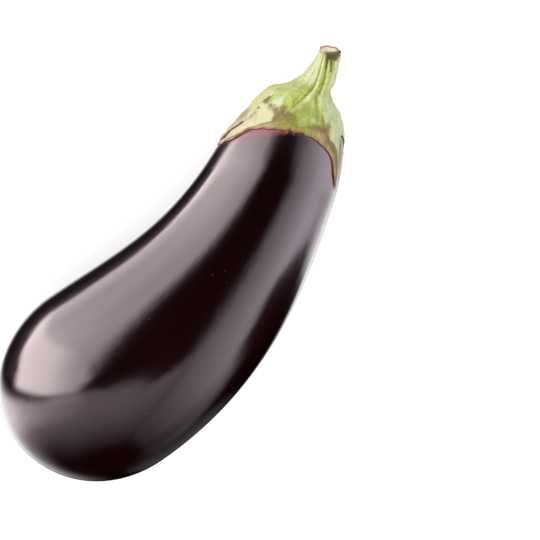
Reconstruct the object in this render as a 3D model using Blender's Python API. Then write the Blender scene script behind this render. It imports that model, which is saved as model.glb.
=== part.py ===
"""A whole eggplant lying on its side: the fruit, its calyx and the cut stem.

Lengths are in metres and +Z is up. The eggplant is drawn in a frame of its own, where X runs from the
blossom end to the stem, the fruit bends in the XY plane with its hollow side towards +Y, and an angle of
0 round the axis faces +Z and 90 degrees faces -Y. The empty "eggplant" then tips that frame until the
belly and the calyx rest on the surface at Z = 0.
"""

import math

import bmesh
import bpy
import numpy as np
from mathutils import Matrix, Vector

# Fruit: its bent axis passes through these (x, y) places. Beyond LEAN_X its sections lean over more and
# more, so that the shoulder stands higher on the outer side of the bend.
AXIS_PLACES = ((0.000, 0.0020), (0.050, -0.0142), (0.100, -0.0233), (0.150, -0.0190), (0.208, -0.0037))
BLOSSOM_X = 0.0
BELLY_X = 0.047
BELLY_RADIUS = 0.0449
NECK_X = 0.200
NECK_RADIUS = 0.0270
SHOULDER_X = 0.1655
TOP_X = 0.2065
LEAN = 0.15
LEAN_X = 0.150

# Broad shallow waves round the fruit: depth as a part of the radius, waves round, phase, twist per metre.
WAVES = ((0.007, 2, 0.5, 0.0), (0.005, 3, 1.9, 6.0), (0.003, 5, 0.4, -9.0))

# Calyx: a cap that hugs the shoulder, with a pointed lobe at each of these (angle, tip x, and the degrees
# that the lobe reaches before and after its tip). Away from its margin it swells, less on the outer side,
# and on the hollow side only near the stem.
GAP = 0.0003
MARGIN_THICKNESS = 0.0013
SWELL = 0.0016
SWELL_LEAN = 0.0013
SWELL_PLACES = (0.172, 0.192, 0.1955, 0.2045)
HOLLOW_SWELL_PLACES = (0.188, 0.200, 0.200, 0.2045)
MARGIN_X = 0.186
LOBES = (
    (70, 0.169, 34, 10), (118, 0.172, 22, 24), (180, 0.166, 25, 25), (-132, 0.170, 24, 24),
    (-76, 0.168, 28, 60))
CROWN_X = 0.2035
COLLAR_RADIUS = 0.0080
COLLAR_X = 0.2095
COLLAR_OFFSET = 0.0009

# Stem: it rises straight from the flat collar, then curves up to the middle of its cut end.
STEM_RISE = 0.0072
STEM_END = (0.2250, 0.0001, 0.0042)
STEM_END_RADIUS = 0.0050
STEM_RIBS = 5
RIB_DEPTH = 0.06

# Attitude at rest, and how far the skin is pressed flat where it touches the surface.
PITCH = math.radians(7.6)
ROLL = math.radians(-8.3)
FLAT_DEPTH = 0.00035

# Fineness of the meshes.
FRUIT_ROUND = 72
FRUIT_ALONG = 32
CALYX_ROUND = 72
CALYX_INNER_RINGS = 14
CALYX_OUTER_RINGS = 9
STEM_ROUND = 40
STEM_ALONG = 10

AXIS_CURVE = np.polyfit(*zip(*AXIS_PLACES), 4)
AXIS_SLOPE = np.polyder(AXIS_CURVE)


def smooth(t):
    """Rise from 0 to 1 with level ends."""
    t = min(max(t, 0.0), 1.0)
    return t * t * (3.0 - 2.0 * t)


def ellipse(t):
    """Height of a quarter ellipse at t, from 1 at its middle to 0 at its end."""
    return math.sqrt(max(0.0, 1.0 - t * t))


def fruit_radius(x):
    """Mean radius at x: a taper from belly to neck, closed by half an ellipse at either end."""
    taper = smooth((x - BELLY_X) / (NECK_X - BELLY_X))
    radius = BELLY_RADIUS + (NECK_RADIUS - BELLY_RADIUS) * taper
    if x < BELLY_X:
        radius *= ellipse((BELLY_X - x) / (BELLY_X - BLOSSOM_X))
    if x > SHOULDER_X:
        radius *= ellipse((x - SHOULDER_X) / (TOP_X - SHOULDER_X))
    return radius


def waviness(latitude, x, angle):
    """Share of the radius that the shallow waves add, fading out at the two ends."""
    wave = sum(d * math.cos(n * angle + phase + twist * x) for d, n, phase, twist in WAVES)
    return wave * math.sin(latitude) ** 2


def x_at(latitude):
    """Where the section at this latitude crosses the axis."""
    return BLOSSOM_X + (TOP_X - BLOSSOM_X) * (1.0 - math.cos(latitude)) / 2.0


def latitude_at(x):
    """Latitude, from 0 at the blossom end to pi at the top, whose section crosses the axis at x."""
    share = (x - BLOSSOM_X) / (TOP_X - BLOSSOM_X)
    return math.acos(1.0 - 2.0 * share)


def heading(x):
    """Direction of the axis at x."""
    return Vector((1.0, np.polyval(AXIS_SLOPE, x), 0.0)).normalized()


def around(x, angle, radius):
    """Point beside the axis at x, in the plane square to the axis."""
    middle = Vector((x, np.polyval(AXIS_CURVE, x), 0.0))
    up = Vector((0.0, 0.0, 1.0))
    side = heading(x).cross(up)
    return middle + (up * math.cos(angle) + side * math.sin(angle)) * radius


def skin(latitude, angle):
    """Point on the skin of the fruit."""
    x = x_at(latitude)
    radius = fruit_radius(x) * (1.0 + waviness(latitude, x, angle))
    lean = LEAN * smooth((x - LEAN_X) / (TOP_X - LEAN_X))
    return around(x, angle, radius) + heading(x) * lean * radius * math.sin(angle)


def above_skin(latitude, angle, height):
    """Point at a height over the skin, measured square to it."""
    step = 0.01
    along = skin(latitude + step, angle) - skin(latitude - step, angle)
    across = skin(latitude, angle + step) - skin(latitude, angle - step)
    return skin(latitude, angle) + across.cross(along).normalized() * height


def bridge(mesh, first, second):
    """Join two rings of vertices with a band of quads."""
    count = len(first)
    for i in range(count):
        j = (i + 1) % count
        mesh.faces.new((first[i], first[j], second[j], second[i]))


def fan(mesh, ring, tip):
    """Close a ring of vertices with triangles to one tip."""
    for i, vertex in enumerate(ring):
        mesh.faces.new((vertex, ring[(i + 1) % len(ring)], tip))


def angles(count):
    return [2.0 * math.pi * i / count for i in range(count)]


def make_fruit():
    mesh = bmesh.new()
    latitudes = [math.pi * i / FRUIT_ALONG for i in range(1, FRUIT_ALONG)]
    rings = [[mesh.verts.new(skin(u, a)) for a in angles(FRUIT_ROUND)] for u in latitudes]
    for first, second in zip(rings, rings[1:]):
        bridge(mesh, first, second)
    fan(mesh, rings[0], mesh.verts.new(skin(0.0, 0.0)))
    fan(mesh, rings[-1], mesh.verts.new(skin(math.pi, 0.0)))
    return mesh


def margin_x(angle):
    """Where the calyx ends at this angle: level between the lobes, and running out to each lobe's tip."""
    reach = 0.0
    for tip_angle, tip_x, before, after in LOBES:
        away = (math.degrees(angle) - tip_angle + 180.0) % 360.0 - 180.0
        share = away / after if away > 0.0 else -away / before
        reach = max(reach, (MARGIN_X - tip_x) * max(0.0, 1.0 - share) ** 1.5)
    return MARGIN_X - reach


def calyx_height(x, angle):
    """Height of the outer side of the calyx over the skin."""
    hollow = max(0.0, -math.sin(angle))
    pairs = zip(SWELL_PLACES, HOLLOW_SWELL_PLACES)
    low, full, full_end, high = (place + (other - place) * hollow for place, other in pairs)
    hump = smooth((x - low) / (full - low)) * smooth((high - x) / (high - full_end))
    return GAP + MARGIN_THICKNESS + (SWELL - SWELL_LEAN * math.sin(angle)) * hump


def cap_rings(mesh, start, count, first, height):
    """Rings over the shoulder from a starting latitude down to the margin, from ring number first."""
    rings = []
    for i in range(first, count + 1):
        share = i / count
        ring = []
        for angle in angles(CALYX_ROUND):
            latitude = start + (latitude_at(margin_x(angle)) - start) * share
            ring.append(mesh.verts.new(above_skin(latitude, angle, height(x_at(latitude), angle))))
        rings.append(ring)
    for one, following in zip(rings, rings[1:]):
        bridge(mesh, one, following)
    return rings


def collar_middle():
    """Middle of the collar, which stands a little towards the outer side of the bend."""
    return around(COLLAR_X, math.pi / 2.0, COLLAR_OFFSET)


def make_calyx():
    """The cap: an inner side close over the fruit, an outer side, and a flat collar for the stem."""
    mesh = bmesh.new()
    inner = cap_rings(mesh, math.pi, CALYX_INNER_RINGS, 1, lambda x, angle: GAP)
    outer = cap_rings(mesh, latitude_at(CROWN_X), CALYX_OUTER_RINGS, 0, calyx_height)
    bridge(mesh, inner[-1], outer[-1])
    fan(mesh, inner[0], mesh.verts.new(around(TOP_X + GAP, 0.0, 0.0)))
    shift = collar_middle() - around(COLLAR_X, 0.0, 0.0)
    collar = [mesh.verts.new(around(COLLAR_X, a, COLLAR_RADIUS) + shift) for a in angles(CALYX_ROUND)]
    bridge(mesh, collar, outer[0])
    mesh.faces.new(collar)
    return mesh


def stem_radius(t, angle):
    """Radius of the stem at t along it, from 0 at the collar to 1 at the cut, ribbed beyond its foot."""
    radius = STEM_END_RADIUS + (COLLAR_RADIUS - STEM_END_RADIUS) * (1.0 - t) ** 1.5
    return radius * (1.0 + RIB_DEPTH * smooth(4.0 * t) * math.cos(STEM_RIBS * angle))


def make_stem():
    """A ribbed rod swept along a quadratic curve, with a flat foot and a flat cut end."""
    mesh = bmesh.new()
    foot = collar_middle() + heading(COLLAR_X) * GAP
    bend = foot + heading(COLLAR_X) * STEM_RISE
    end = Vector(STEM_END)
    rings = []
    for i in range(STEM_ALONG + 1):
        t = i / STEM_ALONG
        middle = foot.lerp(bend, t).lerp(bend.lerp(end, t), t)
        along = (bend - foot).lerp(end - bend, t).normalized()
        side = along.cross(Vector((0.0, 0.0, 1.0))).normalized()
        up = side.cross(along)
        ring = []
        for angle in angles(STEM_ROUND):
            outward = up * math.cos(angle) + side * math.sin(angle)
            ring.append(mesh.verts.new(middle + outward * stem_radius(t, angle)))
        rings.append(ring)
    for first, second in zip(rings, rings[1:]):
        bridge(mesh, first, second)
    mesh.faces.new(rings[0])
    mesh.faces.new(rings[-1])
    return mesh


def press_flat(mesh, up, level):
    """Cut away what lies lower than level and close the cut with one flat face."""
    geometry = mesh.verts[:] + mesh.edges[:] + mesh.faces[:]
    bmesh.ops.bisect_plane(
        mesh, geom=geometry, plane_co=up * level, plane_no=-up, dist=1e-7, clear_outer=True)
    rim = [edge for edge in mesh.edges if edge.is_boundary]
    bmesh.ops.holes_fill(mesh, edges=rim, sides=0)


def material(name, colour, roughness):
    finish = bpy.data.materials.new(name)
    finish.use_nodes = True
    shader = finish.node_tree.nodes["Principled BSDF"]
    shader.inputs["Base Color"].default_value = (*colour, 1.0)
    shader.inputs["Roughness"].default_value = roughness
    shader.inputs["Metallic"].default_value = 0.0
    return finish


def add_object(name, mesh, finish, parent):
    bmesh.ops.recalc_face_normals(mesh, faces=mesh.faces[:])
    data = bpy.data.meshes.new(name)
    mesh.to_mesh(data)
    mesh.free()
    data.shade_smooth()
    data.set_sharp_from_angle(angle=math.radians(40.0))
    data.materials.append(finish)
    piece = bpy.data.objects.new(name, data)
    piece.parent = parent
    bpy.context.scene.collection.objects.link(piece)


def main():
    for old in list(bpy.data.objects):
        bpy.data.objects.remove(old, do_unlink=True)

    meshes = {"fruit": make_fruit(), "calyx": make_calyx(), "stem": make_stem()}

    attitude = Matrix.Rotation(PITCH, 3, "Y") @ Matrix.Rotation(ROLL, 3, "X")
    placed = [attitude @ vertex.co for mesh in meshes.values() for vertex in mesh.verts]
    low = Vector(min(place[i] for place in placed) for i in range(3))
    high = Vector(max(place[i] for place in placed) for i in range(3))
    level = low.z + FLAT_DEPTH
    up = attitude.transposed() @ Vector((0.0, 0.0, 1.0))
    for mesh in meshes.values():
        press_flat(mesh, up, level)

    eggplant = bpy.data.objects.new("eggplant", None)
    eggplant.rotation_euler = attitude.to_euler()
    eggplant.location = (-(low.x + high.x) / 2.0, -(low.y + high.y) / 2.0, -level)
    bpy.context.scene.collection.objects.link(eggplant)

    finishes = {
        "fruit": material("purple_black_skin", (0.012, 0.004, 0.010), 0.22),
        "calyx": material("green_calyx", (0.42, 0.50, 0.16), 0.55),
        "stem": material("pale_green_stem", (0.50, 0.58, 0.22), 0.60),
    }
    for name, mesh in meshes.items():
        add_object(name, mesh, finishes[name], eggplant)


main()
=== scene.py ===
"""A whole eggplant lying on its side: glossy dark skin, a green calyx and a cut stem.

The pieces are drawn in a frame of their own, where X runs from the blossom end to the stem, the fruit
bends in the XY plane with its hollow side towards +Y, and an angle of 0 round the axis faces +Z and 90
degrees faces -Y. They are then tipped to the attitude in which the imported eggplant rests.
"""

import math

import bpy
import numpy as np
from bpy.props import FloatProperty, FloatVectorProperty, PointerProperty
from mathutils import Matrix, Vector, noise


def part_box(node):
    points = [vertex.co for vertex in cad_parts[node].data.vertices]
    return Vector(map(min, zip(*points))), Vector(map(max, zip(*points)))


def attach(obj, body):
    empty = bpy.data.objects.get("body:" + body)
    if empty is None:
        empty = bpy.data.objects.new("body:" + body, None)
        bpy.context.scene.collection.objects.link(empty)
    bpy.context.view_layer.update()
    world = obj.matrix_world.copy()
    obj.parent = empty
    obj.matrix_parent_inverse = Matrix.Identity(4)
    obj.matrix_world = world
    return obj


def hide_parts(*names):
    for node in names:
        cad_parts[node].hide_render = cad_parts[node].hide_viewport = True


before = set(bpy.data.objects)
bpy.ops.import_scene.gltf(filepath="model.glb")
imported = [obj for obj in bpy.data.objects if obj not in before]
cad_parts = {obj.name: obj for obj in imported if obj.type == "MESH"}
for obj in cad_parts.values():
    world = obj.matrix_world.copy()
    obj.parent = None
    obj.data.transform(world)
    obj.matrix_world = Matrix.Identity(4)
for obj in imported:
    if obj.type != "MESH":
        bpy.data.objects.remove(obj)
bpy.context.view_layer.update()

bl_info = {
    "name": "Eggplant",
    "version": (1, 0, 0),
    "blender": (4, 5, 0),
    "location": "3D View > Sidebar > Eggplant",
    "description": "Dresses the packed eggplant with skin, calyx and stem, and sets a plain stage",
    "category": "Object",
}

MM = 0.001

# Fruit: the bent axis, the taper along it, how its sections lean towards the top, and broad shallow waves
# (depth, waves round, phase, twist).
AXIS_PLACES = ((0.000, 0.0020), (0.050, -0.0142), (0.100, -0.0233), (0.150, -0.0190), (0.208, -0.0037))
AXIS_CURVE = np.polyfit(*zip(*AXIS_PLACES), 4)
AXIS_SLOPE = np.polyder(AXIS_CURVE)
BLOSSOM_X = 0.0
BELLY_X = 0.047
NECK_X = 0.200
SHOULDER_X = 0.1655
TOP_X = 0.2065
LEAN = 0.15
LEAN_X = 0.150
WAVES = ((0.007, 2, 0.5, 0.0), (0.005, 3, 1.9, 6.0), (0.003, 5, 0.4, -9.0))

# Skin near the calyx: from which x its distance to the margin is measured and the value it has elsewhere,
# how far the blush reaches in mm (least, extra, angle of the widest place, spread in degrees), and where
# the brightest flecks are. The grain is laid on a cylinder of its own radius.
NEAR_CALYX_X = 0.155
FAR_MM = 60.0
BLUSH_REACH = (2.2, 5.6, -31.0, 21.0)
EMBER_X = 0.1842
EMBER_ANGLE = math.radians(-4.0)
GRAIN_RADIUS = 0.04

# Attitude at rest, and how far the skin is pressed flat where it touches the surface.
PITCH = math.radians(7.6)
ROLL = math.radians(-8.3)
ATTITUDE = Matrix.Rotation(PITCH, 3, "Y") @ Matrix.Rotation(ROLL, 3, "X")
FLAT_DEPTH = 0.00035

# Calyx: its margin as (angle where the rib leaves the crown, angle and x in mm at the margin), how uneven
# that is all round as (size, depth), its frayed tips as (depth, angle, width in degrees) and the size of
# their frays, its gap to the skin, and the x where it starts to swell, is full, starts to sink and ends, on
# the outer and on the hollow side of the bend.
CROWN_X = 0.2035
MARGIN = (
    (-105, -105, 184.0), (-92, -90, 178.0), (-84, -80, 172.0), (-78, -75, 168.9), (-70, -68, 170.6),
    (-53, -53, 175.2), (-45, -45, 180.4), (-34, -34, 182.5), (-20, -20, 184.0), (-5, -5, 185.2),
    (10, 10, 185.8), (22, 22, 185.3), (35, 35, 183.8), (42, 47, 181.4), (46.5, 54, 178.7),
    (51, 61, 174.5), (55, 70.3, 169.8), (57.5, 66, 174.8), (60, 61.5, 179.0), (63, 60.5, 184.0),
    (67, 62, 189.0), (76, 74, 190.5), (95, 95, 188.0), (108, 108, 180.0), (118, 118, 172.0),
    (129, 129, 180.0), (145, 145, 186.0), (163, 163, 183.0), (172, 172, 174.0), (180, 180, 166.0),
    (188, 188, 174.0), (197, 197, 183.0), (213, 213, 186.0), (221, 221, 178.0), (228, 228, 170.0),
    (236, 236, 177.0), (246, 246, 184.0))
FRAY = (0.11, 0.00035)
FRAYED_TIPS = ((0.0016, 282.0, 9.0), (0.0006, 415.0, 5.0))
TIP_FRAY_SIZE = 0.055
RIB_EASING = 5.0
SKIN_GAP = 0.0003
SWELL_PLACES = (0.172, 0.192, 0.1955, 0.2045)
HOLLOW_SWELL_PLACES = (0.188, 0.200, 0.200, 0.2045)

# Margin of the calyx: how much thicker it is on the hollow side of the bend, from which x and over which
# length. How far its split tip curls up, from which x, over which length and where round it. How far the
# rounded edge reaches past its line, how much the calyx thins to it, and from which share of the way.
MARGIN_LEAN = 0.0003
MARGIN_LEAN_X = 0.180
MARGIN_LEAN_REACH = 0.008
TIP_CURL = 0.0011
TIP_CURL_X = 0.177
TIP_CURL_REACH = 0.006
TIP_CURL_ANGLE = -76.0
TIP_CURL_WIDTH = 9.0
MARGIN_OVERHANG = 0.012
EDGE_THINNING = 0.6
EDGE_START = 0.86

# Stem: middle of its foot, the bend and the cut end. Its dished cut face: the shares of its radius at which
# rings lie, its depths and where its lip starts. The painted shade on one side of the cut face: the angle at
# which it is darkest, and how far from a stain, in mm, its unshaded part counts as.
STEM_FOOT = Vector((0.2098, -0.0040, 0.0))
STEM_BEND = Vector((0.2170, -0.0034, 0.0))
STEM_CUT = Vector((0.2250, 0.0001, 0.0042))
STEM_LENGTH = 0.0155
STEM_BULGE = 0.0003
CUT_SHARES = (0.12, 0.3, 0.5, 0.68, 0.82, 0.92, 0.98)
CUT_RISE = 0.0003
CUT_DISH = 0.0006
CUT_LIP = 0.00025
LIP_START = 0.85
LIP_WIDTH = 0.13
CUT_SHADE_ANGLE = 42.0
UNSHADED_CUT_MM = 2.4

# Where stem and calyx meet: how far along each the join starts, as (mean, change round it), the share of
# the join that belongs to the stem, and the rings, as shares of the rim, and the depth by which each of the
# two closes behind the other.
STEM_JOIN = (0.22, 0.06)
CALYX_JOIN = (0.10, 0.05)
STEM_PART_OF_JOIN = 0.35
PLUG_SHARES = (0.5, 0.95)
PLUG_DEPTH = 0.0008

# Rings that round the margin off towards the skin, and that close the inner side over the crown.
ROUND_PARTS = (0.25, 0.5, 0.75)
CROWN_SHARES = (0.25, 0.5, 0.75, 0.93)

# Furrows that run down the stem into the calyx, each as (x in mm, angle) from the cut to where it fades.
MIDDLE_FURROW = (
    (226, -32), (222.5, -25), (218.7, -15), (214, -8), (211, -2), (208, 0.5), (204, -1), (199.3, -4.8),
    (195.7, -10), (192.4, -11.3), (190, -13))
RIGHT_FURROW = (
    (226, 6), (221.5, 6), (219, 10.7), (214, 22.5), (208.6, 27), (205, 22), (202.5, 18), (200.8, 17.3),
    (198.2, 19.3), (195.8, 20.9), (194, 23), (190.5, 27))
FURROWS = (
    ((226, -130), (190, -128)),
    ((226, -86), (190, -84)),
    MIDDLE_FURROW,
    RIGHT_FURROW,
    ((226, 80), (208, 82), (190, 78)),
    ((226, 130), (190, 132)),
    ((226, 178), (190, 180)))
FAINT_LINES = (
    ((221, -56), (213.7, -53.8), (209.3, -45.8), (205, -45)),
    ((217, -72), (209, -64), (203, -57)),
    ((216, -30), (210, -26), (203, -22)),
    ((201, 33), (197.5, 35)))

# Marks on the calyx, as (x in mm, angle): a torn line that opens into a split at the left tip, the raised
# edge of the inner band, the crease that carries it on, the dried patches and the dark stains.
TORN_LINE = (
    (196, -45), (194, -47.5), (191.4, -49.3), (189.4, -50), (187.8, -52), (186.1, -53.3), (184.3, -56.8),
    (182.3, -60.3))
SPLIT_LINE = (
    (182.3, -60.3), (180.1, -63.3), (178.3, -67.5), (176.1, -69.6), (173.4, -71.6), (170.8, -76.9))
RAISED_LINE = (
    (188.8, -12.1), (187.1, -18.6), (185.7, -24.5), (184.2, -30.8), (182.5, -37.9), (180.6, -44.1),
    (177.9, -49.2), (175.4, -53.7), (171.5, -66))
CREASE = ((188.8, -12), (188.0, -6.9), (187.6, 0), (187.8, 8), (188.6, 17), (189.2, 24))
STAR_ARMS = (
    ((190.1, -16), (189.4, -20)),
    ((189.9, -17.9), (191.1, -27), (192.1, -36)),
    ((189.9, -17.9), (192.6, -18.6)),
    ((189.9, -17.9), (190.6, -10)),
    ((189.9, -17.9), (187.2, -21)))
TORN_SPOT = ((194.6, -46), (193.6, -43.5))
RIGHT_ARMS = (
    ((189.1, 30), (189.4, 34.5)),
    ((188.8, 17), (189.2, 26), (189.1, 30)),
    ((193.4, 29), (189.4, 33)),
    ((191.6, 39), (189.2, 34)))
STRIP_MIDDLE = (
    (189.4, 34.5), (186.8, 38.9), (185.5, 42.9), (184.1, 48.5), (182.6, 54.5), (179.8, 57.9),
    (176.3, 62.9), (173.5, 66.4), (170.5, 70))
STAINS = (
    ((226, -6), (224.1, -5.4), (221.5, 3), (219.5, 8)),
    ((226, 12), (223.7, 17.6), (220.4, 28), (218.8, 33)),
    ((224, 0), (224.2, 25), (224.6, 50)),
    ((225.8, -10), (225.6, 15), (225.6, 45), (225.8, 68)))

# How a dried patch narrows away from its first arm and how far it wrinkles the surface in mm, and how a
# stain narrows below an x near the cut.
PATCH_TAPER = 0.24
WRINKLE_MM = 3.0
STAIN_TAPER = 0.16
STAIN_TAPER_X = 0.2235

# Lines pressed into the green surface, or raised from it, as (mark, depth, width in mm). Its ribs: their
# height, the share of it at which the plain surface lies, the x where they start, the length over which
# they rise, and the power that rounds them. Its unevenness as (size, depth). Its grain: the x from which it
# is measured, and its pitch. The least radius used for distances round it.
PRESSED_LINES = (
    ("furrow", 0.00030, 0.6), ("faint", 0.00012, 0.4), ("crease", 0.00035, 0.8), ("torn", 0.00035, 0.6),
    ("split", 0.00110, 0.80), ("strip", 0.00030, 0.7), ("raised", -0.00045, 0.7))
RIB_HEIGHT = 0.0009
RIB_LEVEL = 0.6
RIB_START_X = 0.188
RIB_RISE = 0.018
RIB_POWER = 0.7
COARSE = (0.0045, 0.00030)
FINE = (0.0018, 0.00013)
WRINKLED = (0.0011, 0.00018)
GREEN_MIDDLE_X = 0.2
GREEN_PITCH = 0.012
LEAST_RADIUS = 0.007

# Rows and columns of the meshes, the step over which a slope is measured, and the angle between faces from
# which an edge is left sharp.
FRUIT_ROWS = 210
FRUIT_COLUMNS = 256
EDGE_COLUMNS = 360
STEM_ROWS = 34
JOIN_ROWS = 34
CALYX_ROWS = 76
INNER_ROWS = 16
GREEN_COLUMNS = 420
GRID_STEP = 0.01
SHARP_ANGLE = math.radians(62.0)

# Stage: how far the picture is turned from the fruit's long axis, what the camera aims at in the frame of
# the fruit, the way up of the painted studio in the camera's axes, half the width of the floor, and the
# square lamp above it.
CAMERA_TURN = math.radians(51.25)
CAMERA_AIM = (0.13135, -0.0405, 0.0)
STUDIO_UP = Vector((-0.14, 0.98, 0.155))
FLOOR_HALF = 3.0
LAMP_WIDTH = 1.6
LAMP_HEIGHT = 1.6
LAMP_WATTS = 14.0


def smooth(t):
    """Rise from 0 to 1 with level ends."""
    t = np.clip(t, 0.0, 1.0)
    return t * t * (3.0 - 2.0 * t)


def bell(value, middle, width):
    """1 at the middle, falling away on both sides."""
    return np.exp(-((value - middle) / width) ** 2)


def band(value, start, end, soft):
    """1 between start and end, falling to 0 over a soft edge on either side."""
    return smooth((value - start) / soft + 0.5) * smooth((end - value) / soft + 0.5)


def signed(degrees):
    """The same angle between -180 and 180 degrees."""
    return (degrees + 180.0) % 360.0 - 180.0


def unit(vectors):
    return vectors / np.linalg.norm(vectors, axis=-1, keepdims=True)


def rough(places, scale, depth=1.0):
    """Smooth repeatable unevenness at each place, between about -depth and depth."""
    flat = np.asarray(places).reshape(-1, 3) / scale
    values = [noise.noise(Vector(place)) for place in flat.tolist()]
    return depth * 2.0 * np.array(values).reshape(np.asarray(places).shape[:-1])


# ---------------------------------------------------------------- fruit shape

def fruit_radius(x):
    """Mean radius at x: a taper from belly to neck, closed by half an ellipse at either end."""
    sizes = bpy.context.scene.eggplant_fruit
    taper = smooth((x - BELLY_X) / (NECK_X - BELLY_X))
    radius = sizes.belly_radius + (sizes.neck_radius - sizes.belly_radius) * taper
    blossom = np.clip((BELLY_X - x) / (BELLY_X - BLOSSOM_X), 0.0, 1.0)
    top = np.clip((x - SHOULDER_X) / (TOP_X - SHOULDER_X), 0.0, 1.0)
    return radius * np.sqrt(1.0 - blossom ** 2) * np.sqrt(1.0 - top ** 2)


def x_at(latitude):
    """The x at which the section at a latitude crosses the axis."""
    return BLOSSOM_X + (TOP_X - BLOSSOM_X) * (1.0 - np.cos(latitude)) / 2.0


def latitude_at(x):
    """Latitude, from 0 at the blossom end to pi at the top, whose section crosses the axis at x."""
    return np.arccos(1.0 - 2.0 * (x - BLOSSOM_X) / (TOP_X - BLOSSOM_X))


def around(x, angle, radius):
    """Point beside the axis at x, in the plane square to the axis."""
    slope = np.polyval(AXIS_SLOPE, x)
    stretch = np.sqrt(1.0 + slope ** 2)
    out = radius * np.sin(angle)
    return np.stack([
        x + slope / stretch * out,
        np.polyval(AXIS_CURVE, x) - out / stretch,
        radius * np.cos(angle)], axis=-1)


def skin(latitude, angle):
    """Point on the skin of the fruit."""
    latitude, angle = np.broadcast_arrays(latitude, angle)
    x = x_at(latitude)
    wave = sum(d * np.cos(n * angle + phase + twist * x) for d, n, phase, twist in WAVES)
    radius = fruit_radius(x) * (1.0 + wave * np.sin(latitude) ** 2)
    lean = LEAN * smooth((x - LEAN_X) / (TOP_X - LEAN_X)) * radius * np.sin(angle)
    slope = np.polyval(AXIS_SLOPE, x)
    heading = unit(np.stack([np.ones_like(x), slope, np.zeros_like(x)], axis=-1))
    return around(x, angle, radius) + heading * lean[..., None]


def above_skin(latitude, angle, height):
    """Point at a height over the skin, measured square to it."""
    along = skin(latitude + GRID_STEP, angle) - skin(latitude - GRID_STEP, angle)
    across = skin(latitude, angle + GRID_STEP) - skin(latitude, angle - GRID_STEP)
    height = np.broadcast_to(height, along.shape[:-1])
    return skin(latitude, angle) + unit(np.cross(across, along)) * height[..., None]


def full_turn(count):
    return np.linspace(0.0, 2.0 * math.pi, count, endpoint=False)


def fruit_grid():
    """Latitudes and angles of the fine mesh of the fruit."""
    latitudes = np.linspace(0.0, math.pi, FRUIT_ROWS + 1)[1:-1, None]
    return latitudes, full_turn(FRUIT_COLUMNS)[None, :]


def at_rest(points):
    """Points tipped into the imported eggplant's resting place, and pressed flat on the surface."""
    attitude = np.array(ATTITUDE)
    fruit = skin(*fruit_grid()).reshape(-1, 3) @ attitude.T
    low, high = (np.array(corner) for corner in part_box("fruit"))
    shift = (low + high) / 2.0 - (fruit.min(axis=0) + fruit.max(axis=0)) / 2.0
    shift[2] = -FLAT_DEPTH - fruit[:, 2].min()
    rested = np.asarray(points) @ attitude.T + shift
    rested[..., 2] = np.maximum(rested[..., 2], 0.0)
    return rested


# ---------------------------------------------------------------- calyx and stem shape

def margin_at(column):
    """Angle and x of the calyx margin on the ribs that leave the crown at these angles."""
    closing = np.array(MARGIN[0]) + (360.0, 360.0, 0.0)
    crown, angle, x = np.vstack([MARGIN, closing]).T
    turned = (np.degrees(column) - crown[0]) % 360.0 + crown[0]
    place = np.stack([np.cos(column), np.sin(column), 0.0 * column], axis=-1)
    ragged = sum(depth * bell(turned, middle, width) for depth, middle, width in FRAYED_TIPS)
    fray = rough(place, *FRAY) + rough(place + 3.0, TIP_FRAY_SIZE) * ragged
    return np.radians(np.interp(turned, crown, angle)), np.interp(turned, crown, x) * MM + fray


def calyx_place(column, share):
    """Latitude and angle at a share of the way from the crown to the margin on each rib."""
    end_angle, end_x = margin_at(column)
    swing = (end_angle - column + math.pi) % (2.0 * math.pi) - math.pi
    start = latitude_at(CROWN_X)
    latitude = start + (latitude_at(end_x) - start) * share
    progress = np.clip((CROWN_X - x_at(latitude)) / (CROWN_X - end_x), 0.0, 1.1)
    return latitude, column + swing * progress ** RIB_EASING


def calyx_height(x, angle):
    """Height of the outer side of the calyx over the skin, least on the outer side of the bend."""
    sizes = bpy.context.scene.eggplant_calyx
    hollow = np.maximum(0.0, -np.sin(angle))
    pairs = zip(SWELL_PLACES, HOLLOW_SWELL_PLACES)
    low, full, full_end, high = (place + (other - place) * hollow for place, other in pairs)
    hump = smooth((x - low) / (full - low)) * smooth((high - x) / (high - full_end))
    lean = MARGIN_LEAN * np.sin(angle) * smooth((x - MARGIN_LEAN_X) / MARGIN_LEAN_REACH)
    thickness = sizes.margin_thickness - lean
    curl = TIP_CURL * smooth((TIP_CURL_X - x) / TIP_CURL_REACH)
    curl = curl * bell(signed(np.degrees(angle)), TIP_CURL_ANGLE, TIP_CURL_WIDTH)
    return SKIN_GAP + thickness + sizes.swell * (1.0 - np.sin(angle)) * hump + curl


def outer_height(share, latitude, angle):
    """Height of the calyx at a share of the way to its margin, where it thins to an edge."""
    body = calyx_height(x_at(latitude), angle) - SKIN_GAP
    return SKIN_GAP + body * (1.0 - EDGE_THINNING * smooth((share - EDGE_START) / (1.0 - EDGE_START)))


def stem_place(t, angle):
    """Point on the stem at t along it, from 0 at its foot to 1 at the cut."""
    sizes = bpy.context.scene.eggplant_stem
    foot, bend, end = (np.array(place) for place in (STEM_FOOT, STEM_BEND, STEM_CUT))
    t, angle = np.broadcast_arrays(t, angle)
    share = t[..., None]
    middle = (1.0 - share) ** 2 * foot + 2.0 * share * (1.0 - share) * bend + share ** 2 * end
    along = unit((1.0 - share) * (bend - foot) + share * (end - bend))
    side = unit(np.cross(along, (0.0, 0.0, 1.0)))
    outward = np.cross(side, along) * np.cos(angle)[..., None] + side * np.sin(angle)[..., None]
    radius = sizes.cut_radius + (sizes.foot_radius - sizes.cut_radius) * (1.0 - t)
    radius = radius + STEM_BULGE * np.sin(math.pi * t) * (1.0 + np.sin(angle)) / 2.0
    return middle + outward * radius[..., None]


def angle_on(path, x):
    """Angle at which a path passes x, in degrees."""
    places, turns = zip(*sorted(path))
    return np.interp(x / MM, places, turns)


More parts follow.
